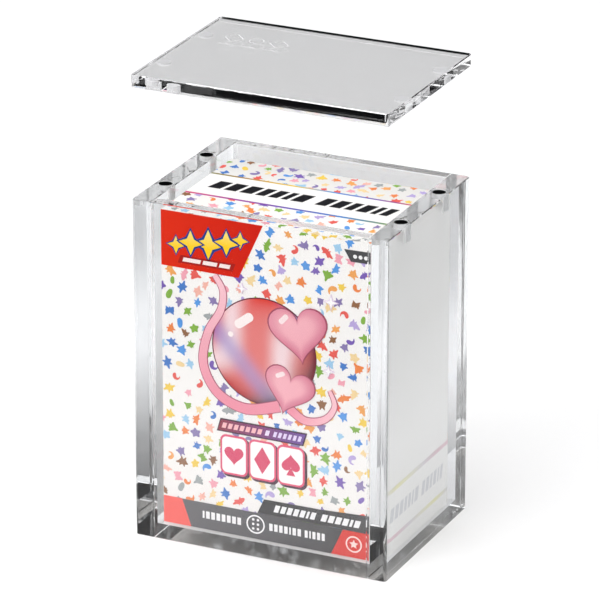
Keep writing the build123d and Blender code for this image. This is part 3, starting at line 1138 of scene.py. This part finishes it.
class CARDCASE_OT_stage(Operator):
    """Make the floor, the lights, the surroundings and the camera"""

    bl_idname = "cardcase.stage"
    bl_label = "Stage"

    def execute(self, context):
        s = settings().stage
        half, under = 9.0, -0.1 * MM  # a floor that touched the base would dull its reflections
        mesh = bpy.data.meshes.new("floor")
        corners = [(-half, -half, under), (half, -half, under), (half, half, under), (-half, half, under)]
        mesh.from_pydata(corners, [], [(0, 1, 2, 3)])
        mesh.materials.append(studio_paper(s.floor))
        floor = loose_object("floor", mesh)
        dark_cards_and_painted_shade()
        self.surroundings()
        self.lights(s)
        self.camera(s)
        return {"FINISHED"}

    def surroundings(self):
        """Pale at the horizon, dark higher up, as in a draped studio."""
        world = bpy.data.worlds.new("studio")
        bpy.context.scene.world = world
        world.use_nodes = True
        w = Nodes(world.node_tree)
        direction = w.add("ShaderNodeTexCoord").also("Generated")
        height = w.add("ShaderNodeSeparateXYZ", {}, {0: direction}).also("Z")
        pale, dark = srgb("ffffff"), srgb(BLACK)
        stops = [(0.0, pale), (0.06, pale), (0.13, dark), (0.8, dark), (1.0, srgb("c8c9cc"))]
        sky = w.add("ShaderNodeValToRGB", {"stops": stops}, {0: height})
        world.node_tree.links.new(sky.socket, world.node_tree.nodes["Background"].inputs["Color"])

    def lights(self, s):
        sun = bpy.data.lights.new("overhead", "SUN")
        sun.energy, sun.angle = s.sun, math.radians(90)
        hung = bpy.data.objects.new("overhead", sun)
        hung.rotation_euler = (math.radians(12), math.radians(-6), 0)
        hung.visible_glossy = False
        bpy.context.scene.collection.objects.link(hung)
        middle = Vector((0, 0, 0.09))
        boxes = (("front_box", (-1.1, -2.6, 1.5), 1.8, 25.0), ("right_box", (2.6, -0.5, 1.3), 1.4, 8.0))
        for name, place, size, power in boxes:
            lamp = bpy.data.lights.new(name, "AREA")
            lamp.energy, lamp.size = power, size
            box = bpy.data.objects.new(name, lamp)
            box.location = place
            box.visible_transmission = False
            box.rotation_euler = (middle - Vector(place)).to_track_quat("-Z", "Y").to_euler()
            bpy.context.scene.collection.objects.link(box)
        scene = bpy.context.scene
        scene.view_settings.view_transform = "Standard"
        scene.cycles.max_bounces = scene.cycles.transmission_bounces = 32
        scene.cycles.glossy_bounces, scene.cycles.transparent_max_bounces = 24, 48
        scene.cycles.caustics_refractive = False

    def camera(self, s):
        middle = (Vector(CAD_BOUNDS[0]) + Vector(CAD_BOUNDS[1])) / 2
        aim = Vector((middle.x - 4.06 * MM, middle.y + 6.92 * MM, 89.4 * MM))
        turn, tilt = math.radians(s.azimuth), math.radians(s.elevation)
        away = Vector((math.sin(turn) * math.cos(tilt), -math.cos(turn) * math.cos(tilt), math.sin(tilt)))
        lens = bpy.data.cameras.new("camera")
        lens.lens, lens.sensor_width = s.lens, 36.0
        camera = bpy.data.objects.new("camera", lens)
        camera.location = aim + away * s.distance
        camera.rotation_euler = (-away).to_track_quat("-Z", "Y").to_euler()
        bpy.context.scene.collection.objects.link(camera)
        bpy.context.scene.camera = camera


class CARDCASE_OT_acrylic(Operator):
    """Make the five plates of the case and the lid"""

    bl_idname = "cardcase.acrylic"
    bl_label = "Acrylic Plates"

    def execute(self, context):
        s = settings().case
        cut, bond = cut_acrylic("drilled_acrylic", srgb("f4f5f6"), 0.55), solvent_bond()
        panel, wall = clear_acrylic("panel_acrylic", s.clear_tint), clear_acrylic("wall_acrylic", s.wall_tint)
        case_magnets = [f"case_magnet_{place}" for place in MAGNET_PLACES]
        every = (*WALLS, *PANELS, "base_panel")
        for node in every:
            beside = [other for other in every if other != node]
            clear = wall if node in WALLS else panel
            acrylic_plate(node, beside, case_magnets, "case", (clear, cut, bond))
        lid = clear_acrylic("lid_acrylic", s.lid_tint, LID_INDEX)
        frosted = cut_acrylic("frosted_lid_cuts", srgb("e6e6e8"), 0.1)
        lid_magnets = [f"lid_magnet_{place}" for place in MAGNET_PLACES]
        acrylic_plate("lid_plate", [], lid_magnets, "lid", (lid, frosted, bond))
        return {"FINISHED"}


class CARDCASE_OT_magnets(Operator):
    """Make the disc magnets of the case and the lid"""

    bl_idname = "cardcase.magnets"
    bl_label = "Magnets"

    def execute(self, context):
        nickel, tree = nickel_plate(), magnet_tree()
        for seed, body in enumerate(("case", "lid")):
            nodes = [f"{body}_magnet_{place}" for place in MAGNET_PLACES]
            boxes = [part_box(node) for node in nodes]
            low, high = boxes[0]
            radius, tall = (high.x - low.x) / 2, high.z - low.z
            s = settings().case
            round_edge, film = s.magnet_round * MM, s.glue_film * MM
            start, end = (film, tall) if body == "case" else (0.0, tall - film)
            foot = arc(radius - round_edge, start + round_edge, round_edge, -90, 0, 4)
            corner = arc(radius - round_edge, end - round_edge, round_edge, 0, 90, 4)
            profile = [(0, start), *foot, *corner, (0, end)]
            piece = loose_object("magnet", lathe(profile, 48))
            points = bpy.data.meshes.new("points")
            points.from_pydata([((a.x + b.x) / 2, (a.y + b.y) / 2, a.z) for a, b in boxes], [], [])
            values = {"Piece": piece, "Seed": seed, "Finish": nickel}
            mesh = built_by(tree, points, values, f"{body}_magnets")
            bpy.data.objects.remove(piece)
            add_object(f"{body}_magnets", smooth_mesh(mesh, 50), (nickel,), body, nodes)
        return {"FINISHED"}


class CARDCASE_OT_carton(Operator):
    """Make the folded board of the carton"""

    bl_idname = "cardcase.carton"
    bl_label = "Carton"

    def execute(self, context):
        s = settings().print
        board = coated_board("coated_board", s.board, srgb("efebe4"))
        mesh = softened(welded_copy("carton_shell", "carton_board"), 0.05 * MM, 2, "carton_board")
        add_object("carton_board", mesh, (board,), "carton", ("carton_shell",))
        return {"FINISHED"}


class CARDCASE_OT_print(Operator):
    """Print the pictures, bands and bars on the carton"""

    bl_idname = "cardcase.print"
    bl_label = "Print"

    def execute(self, context):
        s, ink = settings().print, printing_ink()
        front = Artwork(PrintedFace("front"))
        corner_flag(front, s)
        hero_picture(front, s)
        title_tiles(front)
        foot_band(front, s)
        front.piece("front_print", ink)
        top = Artwork(PrintedFace("top"))
        top_title(top)
        top.piece("top_print", ink)
        for side in ("left", "right"):
            art = Artwork(PrintedFace(side))
            side_title(art)
            art.piece(f"{side}_print", ink)
        rear = Artwork(PrintedFace("rear"))
        rear_panel_print(rear, s)
        rear.piece("rear_print", ink)
        figures = figure_collection()
        tree = confetti_tree([srgb(code) for code in CONFETTI_CODES], len(figures.objects))
        for i, name in enumerate(("front", "rear", "top")):
            confetti_on(PrintedFace(name), tree, figures, s, s.seed + 10 * i, ink)
        for figure in list(figures.objects):
            bpy.data.objects.remove(figure)
        bpy.data.collections.remove(figures)
        return {"FINISHED"}


class CARDCASE_OT_contents(Operator):
    """Finish the sealed packs and the cards inside the carton"""

    bl_idname = "cardcase.contents"
    bl_label = "Packs and Cards"

    def execute(self, context):
        foil, cards = pack_foil(), card_edges()
        for i in PACKS:
            for node, finish in ((f"foil_pack_{i}", foil), (f"card_stack_{i}", cards)):
                for slot in frame["nodes"][node].material_slots:
                    slot.link = "OBJECT"
                    slot.material = finish
        return {"FINISHED"}


class CARDCASE_PT_panel(Panel):
    """The case's settings and its operators"""

    bl_idname = "CARDCASE_PT_panel"
    bl_label = "Card Case"
    bl_space_type = "VIEW_3D"
    bl_region_type = "UI"
    bl_category = "Card Case"

    def draw(self, context):
        for title, group in (("Case", "case"), ("Print", "print"), ("Stage", "stage")):
            box = self.layout.box()
            box.label(text=title)
            values = getattr(context.scene.card_case, group)
            for name in values.__annotations__:
                box.prop(values, name)
        for operator in OPERATORS:
            self.layout.operator(operator.bl_idname)


class CardCase(PropertyGroup):
    """Everything a user may change."""

    case: PointerProperty(type=CaseSettings, name="Case", description="Acrylic and magnets")
    print: PointerProperty(type=PrintSettings, name="Print", description="Carton and inks")
    stage: PointerProperty(type=StageSettings, name="Stage", description="Floor, light and camera")


OPERATORS = (
    CARDCASE_OT_stage,
    CARDCASE_OT_acrylic,
    CARDCASE_OT_magnets,
    CARDCASE_OT_carton,
    CARDCASE_OT_print,
    CARDCASE_OT_contents,
)
CLASSES = (CaseSettings, PrintSettings, StageSettings, CardCase, *OPERATORS, CARDCASE_PT_panel)


def register():
    for cls in CLASSES:
        bpy.utils.register_class(cls)
    bpy.types.Scene.card_case = PointerProperty(type=CardCase)


def unregister():
    del bpy.types.Scene.card_case
    for cls in reversed(CLASSES):
        bpy.utils.unregister_class(cls)


def main():
    register()
    for operator in OPERATORS:
        group, name = operator.bl_idname.split(".")
        getattr(getattr(bpy.ops, group), name)()


if __name__ == "__main__":
    main()
